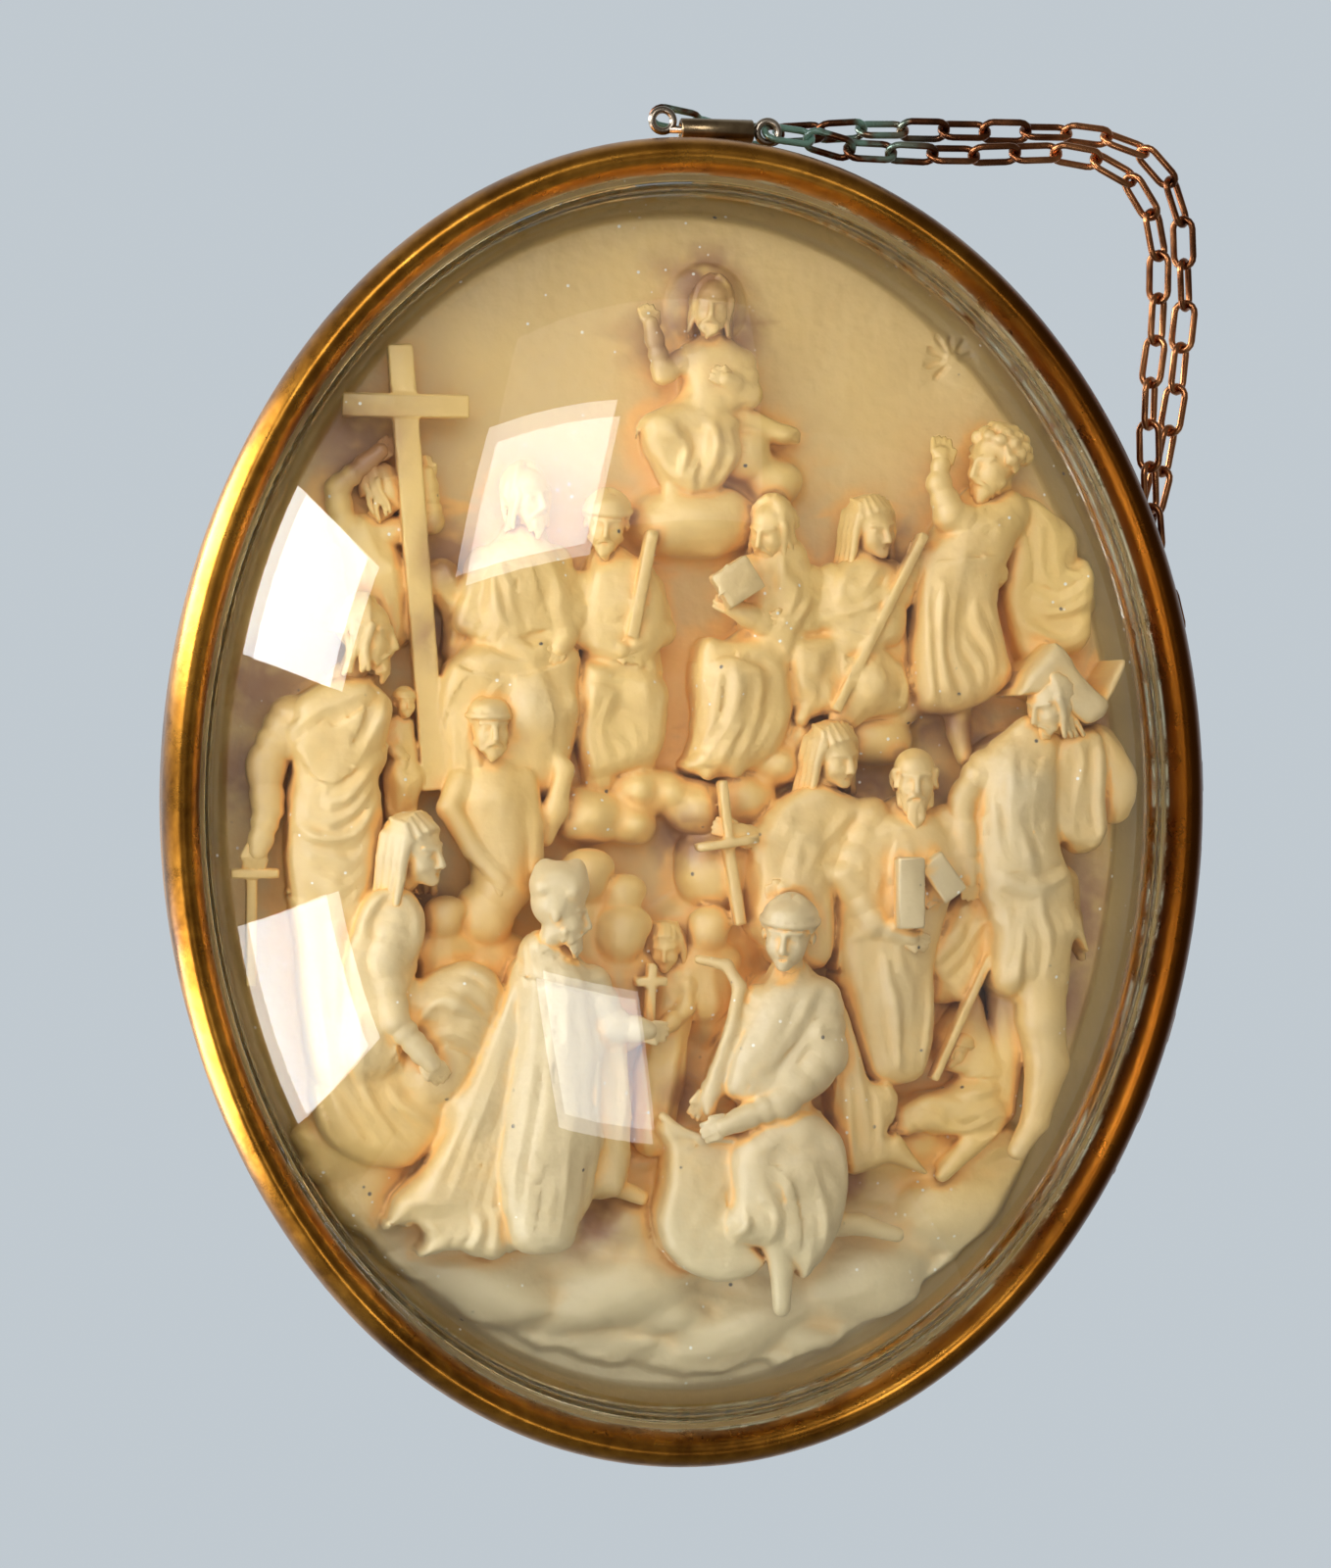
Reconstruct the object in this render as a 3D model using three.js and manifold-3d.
import * as THREE from "three";
import { mergeVertices } from "three/addons/utils/BufferGeometryUtils.js";
import Module from "manifold-3d";

// An oval devotional relief under a domed glass, in a brass frame with a hanger and chain.
// Lengths are millimetres. Shapes are laid out as the wall plaque is seen: x to the right,
// z up from the middle of the oval, and n straight out of the wall.
// In the finished group n runs along -Y, and the origin is the middle of the hanger's bore.

const wasm = await Module();
wasm.setup();

// Driving dimensions
const frameHalfWidth = 53.7;
const frameHalfHeight = 67.4;
const rollWidth = 3.8;
const rollFront = 15.2;
const wallInset = 0.7;
const wallThickness = 1.0;
const wallHeight = 11.2;
const frameSegments = 40;

const boardThickness = 1.6;
const fitGap = 0.35;

const plateFront = 4.2;
const reliefBase = 1.6;
const reliefTriangles = 6000;
const clothPleat = 0.28;
const reliefRoot = plateFront - 0.8;

const glassThickness = 1.2;
const glassRise = 17.4;
const glassSeat = 9.6;

const hangerX = 3.0;
const hangerZ = 68.5;
const hangerN = 9.0;
const hangerLength = 7.5;
const hangerRadius = 1.2;
const hangerBore = 0.75;
const wireRadius = 0.38;
const eyeRadius = 1.1;
const leftEyeRise = 0.9;
const rodRight = hangerLength / 2 + 0.5;
const rodLeft = hangerLength / 2 + 1.2;
const rightEyeX = rodRight + eyeRadius;
const leftEyeX = -rodLeft - Math.sqrt(eyeRadius ** 2 - leftEyeRise ** 2);

const linkLength = 5.55;
const linkWidth = 3.0;
const linkWire = 0.75;
const linkPitch = linkLength - 2 * linkWire + 0.35;
const chainFrontN = 8.8;
const chainBackN = 5.0;
const chainDeepN = 1.9;
const chainMeetsWall = 27;
const chainLeavesWall = -37;
const chainTriangles = 2700;
const frontLinks = 33;
const backLinks = 38;

// Turning points of the two strands, each x, z and n, from the hanger to the frame's wall
const frontTurns = [
  [16.5, 66.9, 8.8], [28, 66.6, 8.8], [39, 67.2, 8.8], [45.4, 66.2, 8.8],
  [49.0, 62.6, 8.6], [50.4, 56, 8.2], [50.2, 48, 7.4], [49.6, 42, 6.6],
];
const backTurns = [
  [20, 69.6, 5.0], [42, 69.8, 5.0], [48.4, 69.0, 5.0], [52.2, 65.8, 4.8],
  [54.0, 61, 4.4], [54.6, 52, 3.6], [53.8, 42, 2.6], [52.2, 33, 2.0],
];

// Laid-out point (x, z, n) as a three.js vector
function laid(x, z, n) {
  return new THREE.Vector3(x, -n, z);
}

// Solids and their joins

function signedVolume(position, triangles) {
  const a = new THREE.Vector3();
  const b = new THREE.Vector3();
  const c = new THREE.Vector3();
  let sum = 0;
  for (let i = 0; i < triangles.length; i += 3) {
    a.fromBufferAttribute(position, triangles[i]);
    b.fromBufferAttribute(position, triangles[i + 1]);
    c.fromBufferAttribute(position, triangles[i + 2]);
    sum += a.dot(b.cross(c));
  }
  return sum / 6;
}

function solidOf(geometry) {
  geometry.deleteAttribute("normal");
  geometry.deleteAttribute("uv");
  const merged = mergeVertices(geometry, 1e-4);
  const position = merged.getAttribute("position");
  const index = merged.getIndex().array;
  const triangles = [];
  for (let i = 0; i < index.length; i += 3) {
    const [a, b, c] = [index[i], index[i + 1], index[i + 2]];
    if (a !== b && b !== c && c !== a) {
      triangles.push(a, b, c);
    }
  }
  if (signedVolume(position, triangles) < 0) {
    triangles.reverse();
  }
  return new wasm.Manifold(new wasm.Mesh({
    numProp: 3,
    vertProperties: new Float32Array(position.array),
    triVerts: new Uint32Array(triangles),
  }));
}

function geometryOf(solid) {
  const mesh = solid.getMesh();
  const geometry = new THREE.BufferGeometry();
  geometry.setAttribute("position", new THREE.BufferAttribute(mesh.vertProperties, 3));
  geometry.setIndex(new THREE.BufferAttribute(mesh.triVerts, 1));
  geometry.computeVertexNormals();
  return geometry;
}

function joined(solids) {
  let row = solids;
  while (row.length > 1) {
    const next = [];
    for (let i = 0; i < row.length; i += 2) {
      next.push(i + 1 < row.length ? row[i].add(row[i + 1]) : row[i]);
    }
    row = next;
  }
  return row[0];
}

// Edge collapse: the edges whose loss moves the surface least go first, until few triangles stay.
// A collapse is refused where it would fold a face over or pinch the closed surface.
function simplified(solid, target) {
  const mesh = solid.getMesh();
  const points = [];
  for (let i = 0; i < mesh.vertProperties.length; i += 3) {
    points.push(new THREE.Vector3(...mesh.vertProperties.slice(i, i + 3)));
  }
  const faces = [];
  for (let i = 0; i < mesh.triVerts.length; i += 3) {
    faces.push([...mesh.triVerts.slice(i, i + 3)]);
  }
  const around = points.map(() => new Set());
  const planes = points.map(() => []);
  faces.forEach((face, at) => {
    const [a, b, c] = face.map((corner) => points[corner]);
    const normal = b.clone().sub(a).cross(c.clone().sub(a));
    const area = normal.length();
    normal.normalize();
    const plane = { normal, offset: -normal.dot(a), weight: area };
    face.forEach((corner) => {
      around[corner].add(at);
      planes[corner].push(plane);
    });
  });
  const quadrics = planes.map((list) => quadricOf(list));
  let alive = faces.length;
  let limit = 1e-6;
  while (alive > target && limit < 100) {
    for (let at = 0; at < faces.length && alive > target; at += 1) {
      for (let side = 0; side < 3 && faces[at]; side += 1) {
        const [a, b] = [faces[at][side], faces[at][(side + 1) % 3]];
        const sum = quadrics[a].map((value, i) => value + quadrics[b][i]);
        const middle = points[a].clone().add(points[b]).multiplyScalar(0.5);
        const choices = [points[a], points[b], middle];
        const costs = choices.map((point) => quadricCost(sum, point));
        const best = costs.indexOf(Math.min(...costs));
        if (costs[best] > limit || !mayCollapse(points, faces, around, a, b, choices[best])) {
          continue;
        }
        points[a] = choices[best].clone();
        quadrics[a] = sum;
        alive -= collapse(faces, around, a, b);
      }
    }
    limit *= 2;
  }
  return solidFrom(points, faces.filter((face) => face));
}

function quadricOf(planes) {
  const sum = new Array(10).fill(0);
  for (const { normal, offset, weight } of planes) {
    const plane = [normal.x, normal.y, normal.z, offset];
    let slot = 0;
    for (let i = 0; i < 4; i += 1) {
      for (let j = i; j < 4; j += 1) {
        sum[slot] += weight * plane[i] * plane[j];
        slot += 1;
      }
    }
  }
  return sum;
}

function quadricCost(quadric, point) {
  const at = [point.x, point.y, point.z, 1];
  let cost = 0;
  let slot = 0;
  for (let i = 0; i < 4; i += 1) {
    for (let j = i; j < 4; j += 1) {
      cost += (i === j ? 1 : 2) * quadric[slot] * at[i] * at[j];
      slot += 1;
    }
  }
  return cost;
}

function mayCollapse(points, faces, around, a, b, place) {
  const ring = (corner) => new Set([...around[corner]].flatMap((at) => faces[at]));
  const shared = [...ring(a)].filter((corner) => corner !== a && corner !== b && ring(b).has(corner));
  if (shared.length !== 2) {
    return false;
  }
  for (const corner of [a, b]) {
    for (const at of around[corner]) {
      const face = faces[at];
      if (face.includes(a) && face.includes(b)) {
        continue;
      }
      const before = face.map((index) => points[index]);
      const after = face.map((index) => (index === corner ? place : points[index]));
      const turned = faceNormal(before).dot(faceNormal(after));
      if (turned < 0.35 || faceShape(after) < 0.06) {
        return false;
      }
    }
  }
  return true;
}

function faceNormal([a, b, c]) {
  return b.clone().sub(a).cross(c.clone().sub(a)).normalize();
}

// Twice a face's height over its longest side: a sliver's is near zero.
function faceShape([a, b, c]) {
  const longest = Math.max(a.distanceTo(b), b.distanceTo(c), c.distanceTo(a));
  const area = b.clone().sub(a).cross(c.clone().sub(a)).length();
  return area / (longest * longest);
}

function collapse(faces, around, a, b) {
  let lost = 0;
  for (const at of [...around[b]]) {
    const face = faces[at];
    if (face.includes(a)) {
      face.forEach((corner) => around[corner].delete(at));
      faces[at] = null;
      lost += 1;
    } else {
      faces[at] = face.map((corner) => (corner === b ? a : corner));
      around[a].add(at);
    }
  }
  around[b].clear();
  return lost;
}

function solidFrom(points, faces) {
  return new wasm.Manifold(new wasm.Mesh({
    numProp: 3,
    vertProperties: new Float32Array(points.flatMap((point) => point.toArray())),
    triVerts: new Uint32Array(faces.flat()),
  }));
}

// Oval pieces: a turned profile whose radius is stretched to the oval. A profile point is
// [inset from the frame's outer edge, n].

function ovalLathe(profile, segments) {
  const points = profile.map(([inset, n]) => new THREE.Vector2(frameHalfWidth - inset, n));
  const geometry = new THREE.LatheGeometry(points, segments);
  const position = geometry.getAttribute("position");
  const stretch = frameHalfHeight - frameHalfWidth;
  for (let i = 0; i < position.count; i += 1) {
    const radius = Math.hypot(position.getX(i), position.getZ(i));
    const angle = Math.atan2(position.getZ(i), position.getX(i));
    const tall = radius + stretch * Math.min(1, radius / (frameHalfWidth - rollWidth));
    const at = laid(radius * Math.cos(angle), tall * Math.sin(angle), position.getY(i));
    position.setXYZ(i, at.x, at.y, at.z);
  }
  return geometry;
}

function frameProfile() {
  const rollMiddle = rollWidth / 2;
  const rollRoot = wallHeight + 0.5;
  const profile = [
    [wallInset, 0],
    [wallInset, wallHeight],
  ];
  const rollSteps = 5;
  for (let step = 0; step <= rollSteps; step += 1) {
    const turn = Math.PI * (1 - step / rollSteps);
    profile.push([
      rollMiddle + rollMiddle * Math.cos(turn),
      rollRoot + (rollFront - rollRoot) * Math.sin(turn),
    ]);
  }
  profile.push([rollWidth, wallHeight + 0.3]);
  profile.push([wallInset + wallThickness, wallHeight - 0.4]);
  profile.push([wallInset + wallThickness, 0]);
  profile.push([wallInset, 0]);
  return profile;
}

// The dome stands steep at its rim and flattens towards the middle.
function domeHeight(share) {
  return glassRise * Math.pow(1 - Math.pow(share, 2.6), 0.62);
}

function glassProfile() {
  const rimInset = rollWidth + fitGap;
  const rimRadius = frameHalfWidth - rimInset;
  const shoulder = wallHeight + 0.2;
  const shares = [0, 0.5, 0.78, 0.95];
  const outer = shares.map((share) => [
    frameHalfWidth - rimRadius * share,
    shoulder + domeHeight(share),
  ]);
  const flangeInset = wallInset + wallThickness + fitGap;
  outer.push([rimInset, shoulder]);
  outer.push([rimInset, glassSeat + 0.9]);
  outer.push([flangeInset, glassSeat + 0.9]);
  outer.push([flangeInset, glassSeat]);
  const innerRadius = rimRadius - glassThickness;
  const inner = shares.map((share) => [
    frameHalfWidth - innerRadius * share,
    shoulder - glassThickness + domeHeight(share),
  ]);
  inner.push([frameHalfWidth - innerRadius, glassSeat]);
  return outer.concat(inner.reverse());
}

function boardProfile() {
  const rim = wallInset + wallThickness + fitGap;
  return [
    [frameHalfWidth, 0],
    [rim, 0],
    [rim, boardThickness],
    [frameHalfWidth, boardThickness],
  ];
}

function plateProfile() {
  const rim = wallInset + wallThickness + fitGap;
  return [
    [frameHalfWidth, boardThickness + fitGap],
    [rim, boardThickness + fitGap],
    [rim, plateFront - 0.8],
    [rim + 6.2, plateFront - 0.8],
    [rim + 7.2, plateFront],
    [frameHalfWidth, plateFront],
  ];
}

// Hanger and chain

function hangerTube() {
  const half = hangerLength / 2;
  const profile = [
    [hangerBore, -half], [hangerRadius, -half], [hangerRadius, half], [hangerBore, half],
    [hangerBore, -half],
  ].map(([radius, along]) => new THREE.Vector2(radius, along));
  const geometry = new THREE.LatheGeometry(profile, 12);
  geometry.rotateZ(Math.PI / 2);
  return geometry;
}

// The wire runs through the tube. The right eye lies level with it, the left one stands higher.
function hangerWire() {
  const rod = new THREE.CylinderGeometry(wireRadius, wireRadius, rodRight + rodLeft, 6);
  rod.rotateZ(Math.PI / 2);
  rod.translate((rodRight - rodLeft) / 2, 0, 0);
  const eyes = [[rightEyeX, 0], [leftEyeX, leftEyeRise]].map(([x, rise]) => {
    const eye = new THREE.TorusGeometry(eyeRadius, wireRadius, 6, 10);
    eye.rotateX(Math.PI / 2);
    eye.translate(x, 0, rise);
    return eye;
  });
  return geometryOf(joined([rod, ...eyes].map(solidOf)));
}

// A link is a six-sided ring drawn out along its length, with flat ends.
function chainLink(middle, along, across) {
  const ringRadius = (linkWidth - linkWire) / 2;
  const geometry = new THREE.TorusGeometry(ringRadius, linkWire * 0.62, 3, 6);
  geometry.rotateZ(Math.PI / 6);
  const position = geometry.getAttribute("position");
  const stretch = (linkLength - linkWire) / 2 - ringRadius * Math.cos(Math.PI / 6);
  for (let i = 0; i < position.count; i += 1) {
    const x = position.getX(i);
    if (Math.abs(x) > 0.01) {
      position.setX(i, x + Math.sign(x) * stretch);
    }
  }
  const length = along.clone().normalize();
  const normal = length.clone().cross(across).normalize();
  const width = normal.clone().cross(length);
  const place = new THREE.Matrix4().makeBasis(length, width, normal).setPosition(middle);
  geometry.applyMatrix4(place);
  return solidOf(geometry);
}

// A strand runs level from its eye, bends down beside the frame and then lies along its wall.
function strandRoute(start, turns, wallN) {
  const clear = linkWidth / 2 + fitGap;
  const halfWidth = frameHalfWidth - wallInset + clear;
  const halfHeight = frameHalfHeight - wallInset + clear;
  const firstAngle = Math.asin(chainMeetsWall / halfHeight);
  const lastAngle = Math.asin(chainLeavesWall / halfHeight);
  const route = [...start, ...turns.map(([x, z, n]) => laid(x, z, n))];
  const steps = 400;
  for (let step = 0; step <= steps; step += 1) {
    const angle = firstAngle + (lastAngle - firstAngle) * step / steps;
    route.push(laid(halfWidth * Math.cos(angle), halfHeight * Math.sin(angle), wallN));
  }
  route.push(laid(halfWidth * Math.cos(lastAngle), chainLeavesWall - 30, wallN));
  return route;
}

// Stops one pitch apart along a route of straight steps.
function walk(route, count) {
  const fineStep = 0.02;
  const stops = [route[0]];
  for (let i = 1; i < route.length; i += 1) {
    const fine = Math.ceil(route[i].distanceTo(route[i - 1]) / fineStep);
    for (let part = 1; part <= fine && stops.length <= count; part += 1) {
      const point = route[i - 1].clone().lerp(route[i], part / fine);
      if (point.distanceTo(stops[stops.length - 1]) >= linkPitch) {
        stops.push(point);
      }
    }
  }
  return stops;
}

function strandLinks(route, count) {
  const stops = walk(route, count);
  const outward = laid(0, 0, 1);
  const links = [];
  for (let i = 0; i < count; i += 1) {
    const along = stops[i + 1].clone().sub(stops[i]);
    const middle = stops[i].clone().add(stops[i + 1]).multiplyScalar(0.5);
    const across = i % 2 === 0 ? outward : along.clone().cross(outward);
    links.push(chainLink(middle, along, across));
  }
  return { links, end: stops[count] };
}

function hangingChain() {
  const rightEye = hangerX + rightEyeX;
  const leftEye = hangerX + leftEyeX;
  const eyeTop = hangerZ + leftEyeRise + eyeRadius;
  const rightStart = [
    laid(rightEye, hangerZ, hangerN),
    laid(rightEye + 4, hangerZ - 0.4, chainFrontN),
  ];
  const leftStart = [
    laid(leftEye, eyeTop, hangerN + 0.5),
    laid(leftEye, eyeTop, hangerN - 3.9),
    laid(leftEye + 4.4, eyeTop - 0.8, chainBackN),
    laid(leftEye + 8.8, eyeTop - 2.0, chainBackN),
  ];
  const front = strandLinks(strandRoute(rightStart, frontTurns, chainBackN + 0.3), frontLinks);
  const back = strandLinks(strandRoute(leftStart, backTurns, chainDeepN), backLinks);
  const turn = front.end.clone().add(back.end).multiplyScalar(0.5);
  const bottom = chainLink(turn, front.end.clone().sub(back.end), new THREE.Vector3(0, 0, 1));
  const whole = joined([...front.links, bottom, ...back.links.reverse()]);
  return geometryOf(simplified(whole, chainTriangles));
}

// Carved relief

// Figures: a head and rows of joints [x, z, radius, extra height off the ground], all in the
// plaque's own frame. depth is how far the figure's middle line stands off the ground, size is
// the head's height, and turn, nod and lean are the head's angles in degrees.
const figures = [
  {
    name: "enthroned", depth: 4.6, size: 5.4, hair: "long", beard: 0.5,
    head: [2.8, 50.8, 1.2], turn: -12, nod: 6, lean: 6,
    body: [
      [[3.3, 46.4, 2.1], [3.2, 43.4, 2.8], [2.4, 40.2, 3.1]],
      [[1.8, 39.2, 3.0], [-2.6, 37.6, 2.3, 1.4], [-1.4, 33.6, 1.6, 0.4]],
      [[3.0, 38.6, 2.8], [3.1, 36.2, 2.5, 1.8], [2.4, 33.4, 1.9, 0.6]],
      [[6.0, 39.4, 1.7], [11.8, 37.6, 0.6]],
    ],
    arms: [
      [[0.6, 45.6, 1.4, 0.6], [-2.3, 43.8, 1.1, 1.2], [-3.7, 49.0, 0.8, 1.6]],
      [[6.0, 45.0, 1.5, 0.6], [6.6, 41.8, 1.3, 1.4], [3.8, 43.2, 0.9, 3.0]],
    ],
    legs: [
      [[-1.4, 33.2, 1.0, 0.6], [-1.5, 31.2, 0.8, 1.4]],
    ],
  },
  {
    name: "cross_bearer", depth: 3.6, size: 5.2, hair: "long", beard: 0,
    head: [-33.2, 31.4, 1.0], turn: 50, nod: -10, lean: -10,
    body: [
      [[-32.6, 27.0, 2.4], [-31.2, 23.0, 3.0], [-30.6, 18.5, 3.0]],
      [[-30.0, 22.6, 2.6], [-25.0, 22.6, 2.0, 0.6], [-22.8, 19.6, 1.7, 0.4], [-23.6, 15.8, 1.4]],
    ],
    arms: [
      [[-34.6, 27.6, 1.5], [-35.6, 31.8, 1.2, 0.6], [-31.2, 35.6, 0.9, 1.4]],
      [[-30.4, 27.4, 1.5, 0.4], [-26.0, 28.6, 1.2, 1.2], [-26.6, 33.4, 0.9, 1.8]],
    ],
    legs: [],
  },
  {
    name: "swordsman", depth: 6.8, size: 6.6, hair: "long", beard: 1.2,
    head: [-33.0, 17.2, 1.2], turn: 70, nod: 10, lean: -6,
    body: [
      [[-34.6, 12.6, 2.2], [-35.4, 8.4, 4.0], [-36.6, 1.0, 4.8], [-36.2, -8.0, 4.6],
       [-35.8, -17.0, 4.2], [-35.4, -25.0, 3.8]],
      [[-33.6, 8.4, 3.4, 1.2], [-33.0, 4.0, 2.6, 0.8]],
      [[-32.0, 6.0, 2.0], [-31.8, -2.0, 1.6], [-32.2, -10.0, 1.8]],
    ],
    arms: [
      [[-40.4, 8.6, 2.4, 0.2], [-43.0, 4.0, 1.9, 0.6], [-42.8, -0.6, 1.5, 1.0],
       [-43.8, -4.6, 1.0, 1.6]],
    ],
    legs: [],
  },
  {
    name: "child", depth: 5.6, size: 2.8, hair: "cap", beard: 0,
    head: [-28.9, 10.2, 0.8], turn: 10, nod: 0, lean: 0,
    body: [
      [[-29.2, 7.8, 1.4], [-29.0, 5.4, 1.3], [-29.0, 2.8, 1.9, 0.4], [-29.2, -0.8, 1.6]],
    ],
    arms: [
      [[-30.2, 8.0, 0.7, 0.4], [-30.8, 6.0, 0.6, 0.8], [-29.4, 5.0, 0.5, 1.6]],
    ],
    legs: [],
  },
  {
    name: "seated_elder", depth: 4.6, size: 5.8, hair: "long", beard: 1.2,
    head: [-16.4, 31.2, 1.4], turn: 30, nod: 5, lean: -4,
    body: [
      [[-16.6, 26.4, 2.6], [-17.0, 22.4, 3.9], [-17.4, 16.6, 4.2]],
      [[-20.4, 14.6, 3.0, 0.4], [-22.6, 9.4, 2.4, 0.4], [-23.4, 3.0, 1.8]],
      [[-16.6, 12.6, 4.0, 0.8], [-15.4, 9.4, 4.0, 1.6], [-15.0, 3.4, 2.8, 0.4]],
    ],
    arms: [
      [[-20.6, 24.4, 1.9, 0.4], [-22.4, 18.6, 1.5, 1.2], [-17.0, 15.4, 1.1, 3.4]],
      [[-13.4, 24.6, 1.7, 0.4], [-11.4, 19.4, 1.5, 1.6], [-13.4, 15.8, 1.0, 3.6]],
    ],
    legs: [],
  },
  {
    name: "seated_scribe", depth: 4.6, size: 5.6, hair: "cap", beard: 0.8,
    head: [-8.2, 28.6, 1.4], turn: -10, nod: 12, lean: 4,
    body: [
      [[-7.6, 24.2, 2.4], [-7.0, 20.4, 3.9], [-6.6, 15.4, 3.9]],
      [[-7.6, 13.4, 3.2], [-8.8, 10.6, 2.6, 1.6], [-9.0, 6.6, 2.1, 0.8], [-8.6, 2.6, 1.8]],
      [[-5.4, 13.4, 3.2], [-4.6, 10.8, 2.6, 1.6], [-4.2, 6.8, 2.1, 0.8], [-4.8, 3.4, 1.7]],
    ],
    arms: [
      [[-10.6, 22.0, 1.7, 0.4], [-10.8, 17.4, 1.5, 1.4], [-7.0, 15.6, 1.0, 3.2]],
      [[-3.8, 21.8, 1.7, 0.4], [-2.6, 17.6, 1.5, 1.2], [-5.4, 16.4, 1.0, 3.2]],
    ],
    legs: [],
  },
  {
    name: "seated_prophet", depth: 5.2, size: 5.8, hair: "long", beard: 1.4,
    head: [8.8, 28.0, 1.6], turn: -45, nod: 22, lean: 8,
    body: [
      [[10.2, 24.2, 2.6], [10.0, 20.6, 3.6, -0.4], [9.4, 16.4, 3.8]],
      [[7.0, 14.6, 3.6], [5.2, 12.6, 3.6, 1.4], [4.4, 8.6, 3.4, 0.6], [3.2, 5.4, 2.8]],
      [[9.0, 12.6, 2.8], [8.6, 8.4, 2.4], [7.4, 5.0, 2.0]],
    ],
    arms: [
      [[7.0, 23.6, 1.8, 0.8], [9.6, 17.4, 1.5, 2.0], [4.4, 20.0, 1.0, 3.2]],
      [[13.0, 22.6, 1.8, 0.4], [12.6, 18.6, 1.6, 1.2], [9.8, 18.6, 1.0, 3.0]],
    ],
    legs: [
      [[3.6, 5.4, 1.2, 1.0], [2.2, 3.2, 0.9, 1.6]],
      [[6.0, 5.2, 1.2, 0.8], [5.0, 3.4, 0.9, 1.6]],
    ],
  },
  {
    name: "staff_bearer", depth: 5.2, size: 5.6, hair: "veil", beard: 0,
    head: [19.6, 28.2, 1.4], turn: 25, nod: 10, lean: -6,
    body: [
      [[18.8, 24.2, 2.4], [18.4, 21.2, 3.4], [17.8, 16.6, 3.6]],
      [[15.6, 15.6, 2.8], [12.6, 14.2, 2.5, 1.8], [12.8, 10.6, 2.0, 0.8]],
      [[18.4, 15.0, 2.8], [19.2, 12.2, 2.5, 2.0], [17.0, 9.2, 1.8, 1.0]],
      [[21.6, 17.0, 1.8], [22.2, 12.6, 1.5], [22.0, 9.6, 1.3]],
    ],
    arms: [
      [[15.4, 23.0, 1.6, 0.4], [14.6, 19.0, 1.4, 1.4], [19.0, 18.2, 1.0, 2.8]],
      [[21.6, 23.6, 1.6, 0.4], [22.6, 21.2, 1.3, 1.2], [23.7, 25.0, 0.9, 2.2]],
    ],
    legs: [
      [[12.8, 10.6, 1.0, 1.0], [12.0, 8.6, 0.8, 1.6]],
      [[17.0, 9.6, 1.0, 1.2], [15.6, 8.4, 0.8, 1.8]],
    ],
  },
  {
    name: "herald", depth: 4.8, size: 6.4, hair: "curls", beard: 1.0,
    head: [32.4, 34.4, 1.8], turn: -60, nod: 12, lean: 10,
    body: [
      [[31.4, 30.2, 2.8], [29.6, 26.8, 3.8], [28.2, 22.4, 4.0], [27.6, 17.0, 4.4], [27.4, 11.4, 4.2]],
      [[25.2, 24.8, 1.5, 1.6], [28.4, 24.6, 1.6, 2.6], [32.2, 23.4, 1.5, 1.6]],
      [[35.6, 29.4, 2.2, -1.4], [37.0, 23.0, 4.0, -2.2], [36.4, 16.4, 3.6, -2.4]],
      [[36.6, 30.2, 1.4, -0.6], [39.8, 27.8, 1.5, -0.4], [40.8, 24.4, 1.2, -0.8]],
      [[39.4, 22.6, 1.4, -1.0], [42.6, 24.2, 1.3, -0.6], [43.6, 20.8, 1.2, -1.4],
       [41.8, 17.4, 1.6, -2.0]],
    ],
    arms: [
      [[33.6, 29.4, 2.4, 0.8], [29.0, 29.2, 1.8, 1.8], [26.6, 31.2, 1.3, 2.2], [26.5, 34.6, 0.9, 2.2]],
      [[34.2, 29.8, 2.2, 0.4], [33.4, 26.2, 1.9, 2.0], [30.0, 27.6, 1.3, 3.6]],
    ],
    legs: [
      [[25.2, 10.8, 1.6], [23.4, 9.2, 1.2], [21.4, 9.2, 0.8, 0.4]],
      [[29.0, 10.8, 1.7], [29.2, 7.2, 1.2], [29.6, 4.6, 0.9, 0.8]],
    ],
  },
  {
    name: "bather", bare: true, depth: 6.6, size: 5.6, hair: "cap", beard: 0.4,
    head: [-20.6, 7.8, 1.4], turn: 8, nod: 4, lean: 0,
    body: [
      [[-20.0, 3.4, 2.2], [-19.8, 0.4, 3.3], [-19.2, -4.2, 3.0], [-19.0, -8.0, 3.2]],
      [[-14.6, 6.4, 0.7, 1.0], [-12.9, 3.4, 0.9, 1.4], [-13.7, -0.6, 1.2, 0.8], [-14.6, -3.6, 0.8]],
    ],
    arms: [
      [[-23.2, 2.2, 1.7, 0.4], [-24.6, -0.4, 1.3, 1.2], [-22.4, -4.4, 1.1, 2.0],
       [-19.4, -7.8, 0.9, 2.6]],
      [[-17.0, 2.4, 1.6, 0.4], [-16.3, -2.0, 1.3, 1.0], [-16.0, -6.4, 1.0, 1.4]],
    ],
    legs: [],
  },
  {
    name: "youth_with_sword", depth: 6.2, size: 5.8, hair: "veil", beard: 0,
    head: [15.3, 4.8, 1.6], turn: 28, nod: 16, lean: -8,
    body: [
      [[13.8, 0.4, 2.2], [12.0, -3.4, 3.8], [11.4, -8.0, 4.0], [12.0, -13.6, 3.8]],
      [[8.6, -3.4, 2.0], [7.8, -7.0, 1.8], [8.4, -12.0, 2.4]],
    ],
    arms: [
      [[10.2, -1.4, 1.8, 0.6], [7.8, -4.0, 1.4, 1.4], [4.2, -2.8, 0.9, 2.4]],
      [[16.4, -1.6, 1.7, 0.6], [14.6, -7.2, 1.4, 2.0], [9.6, -8.8, 1.0, 3.2]],
    ],
    legs: [],
  },
  {
    name: "lawgiver", depth: 7.2, size: 5.8, hair: "bald", beard: 3.0,
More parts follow.
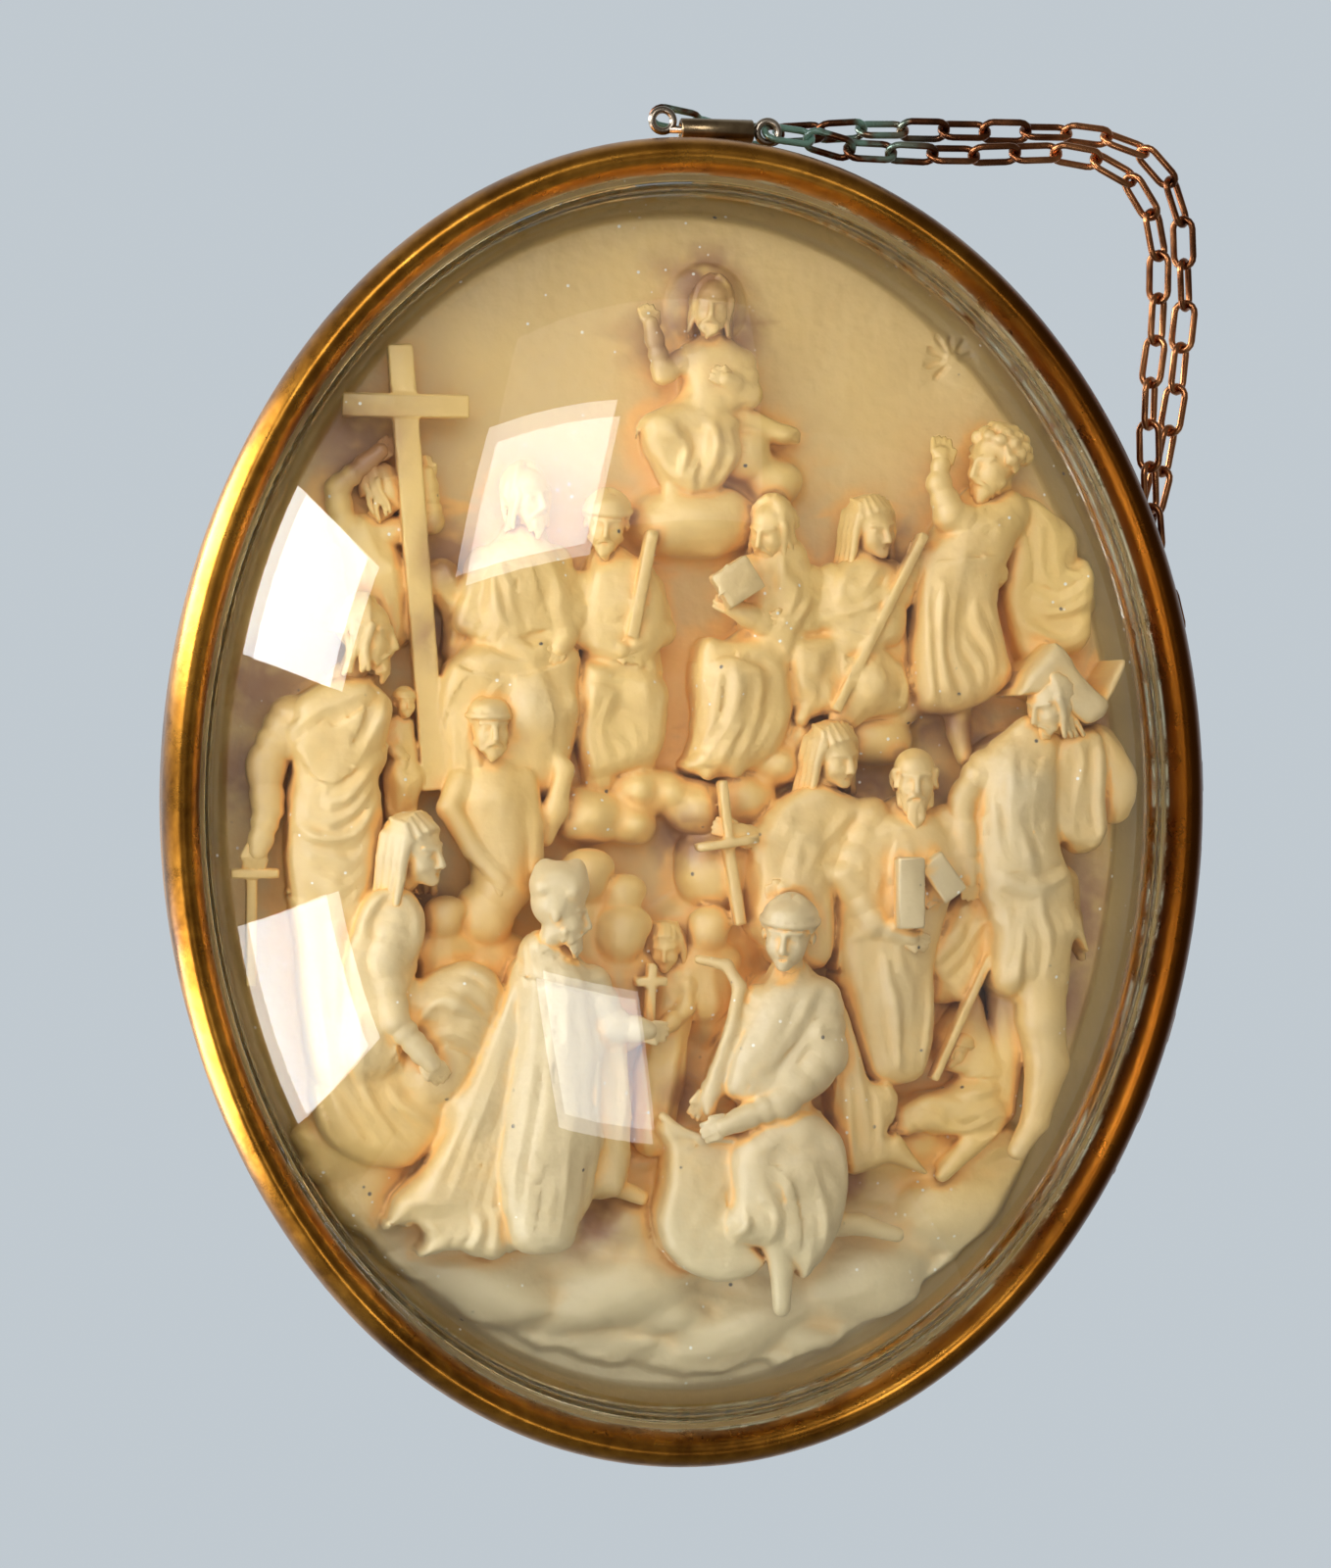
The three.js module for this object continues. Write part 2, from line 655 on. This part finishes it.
    head: [23.4, 2.6, 1.8], turn: -8, nod: 8, lean: 0,
    body: [
      [[23.0, -2.2, 3.0, -0.4], [22.8, -6.4, 4.6], [22.2, -13.0, 4.6], [21.6, -20.0, 4.5],
       [21.2, -27.0, 3.9]],
      [[18.6, -14.0, 2.6], [18.0, -20.0, 2.2], [18.4, -27.0, 2.0]],
      [[25.4, -12.0, 2.4], [25.2, -20.0, 2.0], [24.6, -27.0, 1.8]],
    ],
    arms: [
      [[19.0, -1.6, 2.1, 0.4], [16.4, -7.6, 1.9, 1.4], [18.6, -12.2, 1.5, 2.6],
       [22.6, -13.8, 0.9, 3.8]],
      [[27.0, -2.0, 1.9, 0.4], [27.6, -7.0, 1.7, 1.4], [25.0, -9.2, 1.1, 3.4]],
    ],
    legs: [],
  },
  {
    name: "matron", depth: 8.6, size: 6.4, hair: "veil", beard: 0,
    head: [-28.2, -4.6, 1.8], turn: 48, nod: 14, lean: -12,
    body: [
      [[-30.6, -9.0, 2.4], [-31.0, -12.8, 3.7], [-32.0, -18.0, 4.2], [-32.6, -24.0, 4.4]],
      [[-28.4, -20.0, 3.6], [-24.6, -18.8, 3.5, 1.6], [-24.0, -22.6, 3.2, 0.6], [-26.4, -27.0, 2.4]],
      [[-33.0, -24.0, 3.6], [-29.6, -26.4, 2.8], [-27.0, -30.0, 2.0]],
    ],
    arms: [
      [[-30.2, -10.8, 2.2, 1.4], [-31.6, -15.6, 1.9, 2.6], [-30.6, -21.4, 1.4, 3.2],
       [-27.0, -25.8, 1.0, 3.6]],
    ],
    legs: [],
  },
  {
    name: "handmaid", depth: 5.4, size: 4.4, hair: "veil", beard: 0,
    head: [-2.2, -14.8, 1.0], turn: -15, nod: 14, lean: 0,
    body: [
      [[-1.4, -18.0, 1.8], [-1.6, -22.0, 2.2], [-2.6, -28.0, 2.4], [-3.4, -34.0, 2.2]],
    ],
    arms: [
      [[0.2, -17.6, 1.1, 0.8], [-0.2, -21.0, 0.9, 1.8], [-2.6, -22.8, 0.8, 3.0]],
    ],
    legs: [],
  },
  {
    name: "prelate", depth: 10.2, size: 6.2, hair: "mitre", beard: 1.0,
    head: [-14.0, -10.8, 2.4], turn: 78, nod: 12, lean: -6,
    body: [
      [[-15.4, -15.2, 2.6, 0.6], [-14.4, -18.6, 3.9, 0.6], [-14.0, -25.0, 4.9],
       [-14.4, -33.0, 5.4, -0.6], [-15.6, -41.0, 5.8, -1.6]],
      [[-16.8, -17.0, 1.8], [-18.8, -23.0, 2.6, -0.6], [-21.6, -31.0, 3.8, -2.0],
       [-24.0, -38.0, 4.2, -3.4], [-25.0, -42.0, 3.2, -3.8]],
      [[-25.0, -38.6, 2.4, -3.8], [-30.4, -42.4, 0.8, -4.4]],
      [[-10.6, -24.0, 3.0, -1.0], [-9.4, -31.0, 3.2, -1.8], [-9.4, -37.0, 3.2, -2.6]],
      [[-12.2, -30.0, 1.6, 0.8], [-12.8, -38.0, 1.7, 0.6], [-13.4, -43.6, 1.6, 0.2]],
    ],
    arms: [
      [[-10.8, -18.4, 2.2, 0.6], [-8.6, -22.4, 1.8, 1.0], [-5.0, -22.8, 1.0, 1.6]],
    ],
    legs: [
      [[-9.0, -38.4, 1.2, -3.0], [-4.8, -40.2, 0.8, -3.0]],
    ],
  },
  {
    name: "muse", depth: 9.8, size: 6.6, hair: "cap", beard: 0,
    head: [9.4, -13.2, 2.4], turn: -22, nod: 12, lean: 6,
    body: [
      [[10.2, -18.0, 2.4], [10.0, -21.6, 4.4], [8.6, -26.6, 4.0], [8.6, -31.0, 4.0]],
      [[14.0, -20.4, 2.2, 0.6], [13.8, -26.0, 2.5, 1.2], [11.4, -29.6, 2.0, 1.6]],
      [[11.6, -33.6, 4.4], [9.8, -36.4, 4.6, 1.6], [10.6, -42.0, 3.9, 0.6], [11.4, -46.0, 2.2]],
      [[6.4, -35.0, 3.2, 1.0], [6.0, -39.0, 2.9, 1.6], [6.6, -42.4, 2.2, 1.2]],
      [[15.6, -20.6, 1.2, -1.6], [17.4, -26.0, 1.7, -2.0], [19.0, -30.6, 2.4, -2.4],
       [18.6, -35.0, 2.4, -2.8]],
      [[19.6, -33.6, 2.0, -2.8], [24.4, -37.8, 0.6, -3.4]],
    ],
    arms: [
      [[13.0, -28.4, 1.8, 1.8], [8.4, -30.6, 1.4, 3.0], [2.6, -32.4, 1.0, 3.6]],
      [[6.6, -20.0, 1.6, 0.4], [3.6, -26.0, 1.3, 0.6], [1.2, -30.0, 1.0, 1.2]],
    ],
    legs: [
      [[8.0, -43.0, 1.9, 2.0], [8.8, -47.0, 1.2, 1.8], [8.9, -51.2, 0.9, 1.4]],
      [[13.6, -43.0, 1.5, 0.0], [17.6, -43.2, 1.1, -1.0], [21.6, -44.4, 0.8, -1.2]],
    ],
  },
  {
    name: "guardsman", depth: 8.2, size: 6.0, hair: "hat", beard: 0.4,
    head: [36.2, 9.8, 2.0], turn: -60, nod: 20, lean: 8,
    body: [
      [[36.6, 5.6, 2.8], [34.6, 1.6, 4.6], [34.4, -4.6, 3.9], [35.4, -9.0, 4.0],
       [36.2, -14.0, 3.9], [36.4, -18.0, 3.4]],
      [[40.4, 5.0, 2.0], [40.4, 0.6, 2.5], [41.2, -3.4, 2.0]],
      [[43.0, 5.6, 2.4, -0.6], [45.0, 2.0, 2.5, -0.8], [45.2, -0.4, 1.9, -1.0]],
      [[32.6, -12.0, 1.8, -0.4], [32.8, -16.0, 1.3, 0.0], [32.9, -19.0, 0.7, 0.0]],
      [[39.6, -8.6, 1.8, -1.0], [40.8, -12.6, 1.0, -1.4], [42.0, -16.2, 0.5, -1.8]],
      [[30.6, -10.4, 1.8, -2.0], [28.0, -14.0, 2.9, -2.6], [27.4, -18.6, 2.4, -3.0]],
      [[37.4, 6.4, 1.1, 1.6], [35.4, 7.6, 1.1, 1.4], [32.4, 5.6, 1.0, 0.8]],
    ],
    arms: [
      [[31.0, 3.6, 1.9, 0.4], [28.4, 0.4, 1.4, 0.8], [28.8, -4.0, 1.3, 1.0], [29.2, -8.0, 0.9, 1.2]],
    ],
    legs: [
      [[36.8, -17.4, 2.9, 0.4], [36.8, -22.4, 2.5, 0.8], [37.6, -27.0, 2.2, 0.4],
       [36.6, -33.0, 1.4, -0.4], [34.4, -36.0, 1.0, 0.4]],
      [[34.4, -19.0, 2.4, -2.6], [34.2, -26.0, 2.0, -2.8], [33.6, -32.0, 1.5, -2.8],
       [30.0, -35.6, 1.2, -2.0], [27.0, -38.6, 0.8, -1.6]],
    ],
  },
  {
    name: "fallen_man", depth: 5.2, size: 3.8, hair: "cap", beard: 0,
    head: [28.6, -25.6, 1.2], turn: -25, nod: 10, lean: 20,
    body: [
      [[30.6, -25.6, 1.8], [31.6, -28.0, 2.2], [30.6, -31.4, 3.0], [26.4, -32.4, 2.2]],
      [[29.6, -23.4, 1.0, 0.6], [33.4, -28.2, 0.9, 1.0]],
    ],
    arms: [
      [[27.0, -31.6, 1.6, 0.8], [24.6, -32.8, 1.2, 1.4], [22.6, -33.6, 0.8, 1.8]],
    ],
    legs: [],
  },
];

// Straight carved things, from and to as [x, z, n].
const carvedBars = [
  { name: "cross_post", from: [-29.3, 46.1, 8.4], to: [-25.9, 1.5, 8.4], wide: 2.3, rooted: true },
  { name: "cross_beam", from: [-35.0, 40.1, 8.7], to: [-22.5, 40.1, 8.7], wide: 2.1, rooted: true },
  { name: "left_sword", from: [-44.3, -5.2, 9.6], to: [-44.4, -18.0, 9.6], wide: 1.1, rooted: true },
  { name: "left_guard", from: [-46.2, -6.8, 10.0], to: [-41.8, -6.8, 10.0], wide: 1.0, rooted: true },
  { name: "palm_leaf", from: [-3.9, 27.6, 10.6], to: [-6.0, 16.9, 10.6], wide: 1.3, rooted: true },
  { name: "prophet_book", from: [2.8, 21.4, 12.6], to: [6.2, 23.6, 12.6], wide: 3.6, rooted: true },
  { name: "long_staff", from: [24.5, 27.5, 10.6], to: [15.2, 9.5, 10.6], wide: 1.1, rooted: true },
  { name: "youth_grip", from: [3.2, 2.2, 11.4], to: [3.9, -4.4, 11.4], wide: 0.9, rooted: true },
  { name: "youth_guard", from: [0.6, -4.5, 11.6], to: [6.8, -3.6, 11.6], wide: 0.9, rooted: true },
  { name: "youth_blade", from: [3.9, -4.2, 10.8], to: [5.2, -12.3, 10.8], wide: 1.2, rooted: true },
  { name: "left_tablet", from: [22.0, -5.6, 14.9], to: [22.0, -12.6, 14.9], wide: 2.6, rooted: true },
  { name: "right_tablet", from: [24.2, -5.8, 14.3], to: [26.8, -9.4, 14.3], wide: 2.6, rooted: true },
  { name: "short_rod", from: [-35.2, -29.2, 11.0], to: [-27.7, -27.2, 11.0], wide: 1.0, rooted: true },
  { name: "hand_cross", from: [-4.2, -16.3, 12.0], to: [-4.5, -23.0, 12.0], wide: 0.9, rooted: true },
  { name: "hand_cross_arm", from: [-5.8, -18.0, 12.0], to: [-2.8, -18.0, 12.0], wide: 0.9, rooted: true },
  { name: "thin_rod", from: [31.5, -16.0, 10.6], to: [25.6, -28.5, 10.6], wide: 0.8, rooted: true },
];

// Curved carved things, joints [x, z, radius, n].
const carvedCurves = [
  {
    name: "crook", sides: 5, rooted: false,
    joints: [
      [0.6, -15.8, 0.5, 11.6], [3.4, -16.4, 0.6, 12.2], [4.6, -18.6, 0.7, 12.6],
      [3.8, -22.6, 0.7, 12.8], [2.2, -27.0, 0.7, 12.8], [1.4, -31.0, 0.7, 13.0],
    ],
  },
  {
    name: "lyre", sides: 8, rooted: true,
    joints: [
      [0.6, -33.6, 2.6, 10.4], [0.2, -38.0, 2.9, 10.8], [1.6, -42.6, 3.6, 10.6],
      [3.8, -45.6, 2.8, 10.0],
    ],
  },
  {
    name: "lyre_horn", sides: 5, rooted: false,
    joints: [[-1.4, -34.0, 0.8, 11.0], [-2.4, -32.4, 0.7, 11.2], [-3.5, -31.0, 0.5, 11.4]],
  },
];

// Rounded lumps [x, z, half width, half height, front n].
const clouds = [
  [1.5, 28.8, 6.5, 3.5, 9.4], [6.6, 35.8, 2.4, 2.4, 8.4], [10.0, 33.0, 2.4, 2.2, 7.8],
  [-9.8, -1.3, 3.4, 2.8, 9.6], [-4.7, 1.4, 2.2, 2.2, 9.0], [-5.2, -2.2, 2.0, 1.9, 9.2],
  [-1.4, 1.0, 2.0, 1.9, 9.0], [1.5, -0.6, 2.7, 2.6, 9.6], [6.5, 0.3, 3.0, 2.5, 9.0],
  [10.0, 4.0, 2.5, 2.0, 9.2], [12.0, 6.9, 1.9, 1.6, 8.6], [20.6, 6.6, 3.6, 2.6, 8.4],
  [39.6, 26.4, 2.6, 2.8, 7.6],
];
const crowdHeads = [
  [-25.2, -11.5, 2.0, 2.1, 11.0], [-20.7, -11.3, 3.0, 3.2, 10.6], [-10.5, -7.5, 2.5, 2.7, 10.4],
  [-6.7, -9.7, 2.1, 2.3, 10.0], [-7.0, -13.4, 2.7, 2.9, 11.4], [2.3, -13.0, 2.1, 2.3, 10.2],
  [3.5, -7.0, 4.2, 4.4, 9.4],
];
const rocks = [
  [-34.0, -34.5, 5.0, 4.0, 8.6], [-33.6, -40.4, 3.4, 3.2, 7.6], [-5.4, -49.6, 6.4, 4.2, 8.8],
  [-19.6, -49.4, 5.6, 3.4, 7.8], [7.2, -53.8, 7.4, 3.0, 8.2], [19.4, -49.2, 6.0, 4.2, 8.8],
  [28.6, -42.4, 5.6, 4.0, 8.2], [-5.8, -43.0, 3.0, 3.4, 8.6], [24.4, -35.6, 3.2, 2.6, 7.6],
];

// Lower edge of the rocky ground, then its hidden upper edge, as [x, z].
const groundFront = 5.6;
const groundEdge = [
  [-39.4, -33.0], [-38.0, -38.6], [-32.0, -46.0], [-20.0, -53.6], [-8.0, -57.8], [4.0, -59.2],
  [15.0, -56.8], [28.0, -49.4], [35.0, -42.4], [38.6, -35.0], [20.0, -30.0], [-20.0, -28.0],
];

// A tapered limb: a turned shape whose stations are moved onto a row of joints [x, z, radius, n].
// A rooted limb's back is drawn down to the plate, and its ends reach a little past the joints.
// pleat is how much of the radius every second corner loses, for gathered cloth.
function limb(joints, sides, rooted, pleat = 0) {
  const last = joints.length - 1;
  const profile = joints.map((joint, i) => new THREE.Vector2(1, i));
  profile.unshift(new THREE.Vector2(0, 0));
  profile.push(new THREE.Vector2(0, last));
  const geometry = new THREE.LatheGeometry(profile, sides);
  const position = geometry.getAttribute("position");
  for (let i = 0; i < position.count; i += 1) {
    const index = Math.round(position.getY(i));
    const joint = joints[index];
    const before = joints[Math.max(0, index - 1)];
    const after = joints[Math.min(last, index + 1)];
    const run = Math.hypot(after[0] - before[0], after[1] - before[1]) || 1;
    const alongX = (after[0] - before[0]) / run;
    const alongZ = (after[1] - before[1]) / run;
    const turn = Math.atan2(position.getX(i), position.getZ(i));
    const corner = Math.round(turn * sides / (2 * Math.PI));
    const fold = corner % 2 === 0 ? 1 : 1 - pleat;
    const share = Math.hypot(position.getX(i), position.getZ(i)) * fold;
    const angle = turn + Math.PI / sides;
    const across = Math.sin(angle) * share * joint[2];
    const rise = Math.cos(angle) * share;
    const isEnd = index === 0 || index === last;
    const reach = isEnd ? (index === 0 ? -1 : 1) * joint[2] * (0.55 - 0.4 * share) : 0;
    const n = rooted && rise < -0.1 ? reliefRoot : joint[3] + rise * joint[2] * 0.85;
    const at = laid(
      joint[0] + alongZ * across + alongX * reach,
      joint[1] - alongX * across + alongZ * reach,
      n,
    );
    position.setXYZ(i, at.x, at.y, at.z);
  }
  return solidOf(geometry);
}

function ball(sidesAround, sidesUp, radiusX, radiusN, radiusZ) {
  const geometry = new THREE.SphereGeometry(1, sidesAround, sidesUp);
  geometry.rotateX(Math.PI / 2);
  geometry.scale(radiusX, radiusN, radiusZ);
  return geometry;
}

// A head in plain proportions, facing out of the wall before it is turned.
function faceForm(size) {
  const geometry = ball(5, 4, size * 0.36, size * 0.42, size * 0.5);
  const position = geometry.getAttribute("position");
  for (let i = 0; i < position.count; i += 1) {
    const down = Math.max(0, -position.getZ(i) / (size * 0.5));
    position.setX(i, position.getX(i) * (1 - 0.3 * down));
  }
  return geometry;
}

function hairForm(kind, size) {
  if (kind === "mitre") {
    const geometry = new THREE.ConeGeometry(size * 0.5, size * 1.0, 6);
    geometry.rotateX(Math.PI / 2);
    geometry.translate(0, size * 0.06, size * 0.7);
    return geometry;
  }
  if (kind === "hat") {
    const geometry = new THREE.ConeGeometry(size * 0.85, size * 0.8, 7);
    geometry.rotateX(Math.PI / 2);
    geometry.translate(0, size * 0.02, size * 0.48);
    return geometry;
  }
  const drop = { cap: 0, bald: 0.1, curls: 0.05, long: 0.14, veil: 0.16 }[kind];
  const high = kind === "bald" ? 0.42 : 0.5;
  const geometry = ball(5, 3, size * 0.46, size * 0.44, size * (high + drop));
  geometry.translate(0, size * 0.16, size * (0.12 - drop * 0.6));
  return geometry;
}

function beardForm(length, size) {
  const geometry = new THREE.ConeGeometry(size * 0.28, size * (0.3 + 0.16 * length), 5);
  geometry.rotateX(-Math.PI / 2);
  geometry.translate(0, -size * 0.26, -size * (0.4 + 0.06 * length));
  return geometry;
}

function headSolids(figure) {
  const [x, z, lift] = figure.head;
  const forms = [faceForm(figure.size), hairForm(figure.hair, figure.size)];
  if (figure.beard > 0) {
    forms.push(beardForm(figure.beard, figure.size));
  }
  const middle = laid(x, z, reliefBase + figure.depth + lift);
  return forms.map((geometry) => {
    geometry.rotateX(THREE.MathUtils.degToRad(figure.nod));
    geometry.rotateZ(THREE.MathUtils.degToRad(figure.turn));
    geometry.rotateY(THREE.MathUtils.degToRad(figure.lean));
    geometry.translate(middle.x, middle.y, middle.z);
    return solidOf(geometry);
  });
}

function withDepth(joints, depth) {
  return joints.map(([x, z, radius, lift = 0]) => [x, z, radius, reliefBase + depth + lift]);
}

function neckSolid(figure) {
  const [x, z, lift] = figure.head;
  const [shoulderX, shoulderZ] = figure.body[0][0];
  const radius = figure.size * 0.24;
  const joints = [[x, z - figure.size * 0.15, radius, lift - 0.4], [shoulderX, shoulderZ, radius, 0]];
  return limb(withDepth(joints, figure.depth), 4, false);
}

function figureSolids(figure) {
  const pleat = figure.bare ? 0 : clothPleat;
  const masses = figure.body.map((joints) => limb(withDepth(joints, figure.depth), 12, true, pleat));
  const limbs = [...figure.arms, ...figure.legs];
  const rounds = limbs.map((joints) => limb(withDepth(joints, figure.depth), 4, false));
  return [...masses, ...rounds, neckSolid(figure), ...headSolids(figure)];
}

function lumpSolid([x, z, radiusX, radiusZ, top]) {
  const geometry = ball(7, 4, radiusX, top - reliefRoot, radiusZ);
  const position = geometry.getAttribute("position");
  for (let i = 0; i < position.count; i += 1) {
    position.setY(i, Math.min(position.getY(i), 0.5));
  }
  const middle = laid(x, z, reliefRoot);
  geometry.translate(middle.x, middle.y, middle.z);
  return solidOf(geometry);
}

// A straight carved bar from [x, z, n] to [x, z, n], drawn down to the plate where it is rooted.
function barSolid(bar) {
  const [x1, z1, n1] = bar.from;
  const [x2, z2, n2] = bar.to;
  const length = Math.hypot(x2 - x1, z2 - z1);
  const deep = bar.rooted ? (n1 + n2) / 2 - reliefRoot : bar.thick;
  const geometry = new THREE.BoxGeometry(length, deep, bar.wide);
  const front = (n1 + n2) / 2;
  geometry.rotateY(-Math.atan2(z2 - z1, x2 - x1));
  const middle = laid((x1 + x2) / 2, (z1 + z2) / 2, front - deep / 2);
  geometry.translate(middle.x, middle.y, middle.z);
  return solidOf(geometry);
}

function groundSolid() {
  const edge = groundEdge.map(([x, z]) => new THREE.Vector2(x, z));
  const geometry = new THREE.ExtrudeGeometry(new THREE.Shape(edge), {
    depth: groundFront - reliefRoot,
    bevelEnabled: false,
  });
  geometry.rotateX(Math.PI / 2);
  geometry.translate(0, -reliefRoot, 0);
  return solidOf(geometry);
}

function carvedRelief() {
  const plate = solidOf(ovalLathe(plateProfile(), frameSegments));
  const people = figures.flatMap(figureSolids);
  const lumps = [...clouds, ...crowdHeads, ...rocks].map(lumpSolid);
  const bars = carvedBars.map(barSolid);
  const curves = carvedCurves.map((curve) => limb(curve.joints, curve.sides, curve.rooted));
  const whole = joined([plate, groundSolid(), ...lumps, ...bars, ...curves, ...people]);
  return geometryOf(simplified(whole, reliefTriangles));
}

// Finished group

function finish(color, roughness, metalness) {
  return new THREE.MeshStandardMaterial({ color, roughness, metalness });
}

function piece(name, geometry, material) {
  const mesh = new THREE.Mesh(geometry, material);
  mesh.name = name;
  return mesh;
}

function closedGeometry(geometry) {
  return geometryOf(solidOf(geometry));
}

const glassFinish = finish(0xe8f0ee, 0.05, 0);
glassFinish.transparent = true;
glassFinish.opacity = 0.3;

const plaque = new THREE.Group();
plaque.position.copy(laid(hangerX, hangerZ, hangerN).negate());
plaque.add(
  piece("brass_frame", closedGeometry(ovalLathe(frameProfile(), frameSegments)), finish(0x9a7b3a, 0.4, 0.9)),
  piece("glass_dome", closedGeometry(ovalLathe(glassProfile(), frameSegments)), glassFinish),
  piece("back_board", closedGeometry(ovalLathe(boardProfile(), frameSegments)), finish(0x6d5236, 0.8, 0)),
  piece("carved_relief", carvedRelief(), finish(0xe9d6ae, 0.6, 0)),
  piece("hanging_chain", hangingChain(), finish(0x9c6a3c, 0.4, 0.9)),
);

const hanger = new THREE.Group();
hanger.add(
  piece("hanger_tube", closedGeometry(hangerTube()), finish(0xa8894c, 0.4, 0.9)),
  piece("hanger_wire", hangerWire(), finish(0xb9a67c, 0.35, 0.9)),
);

const group = new THREE.Group();
group.add(plaque, hanger);

export default group;
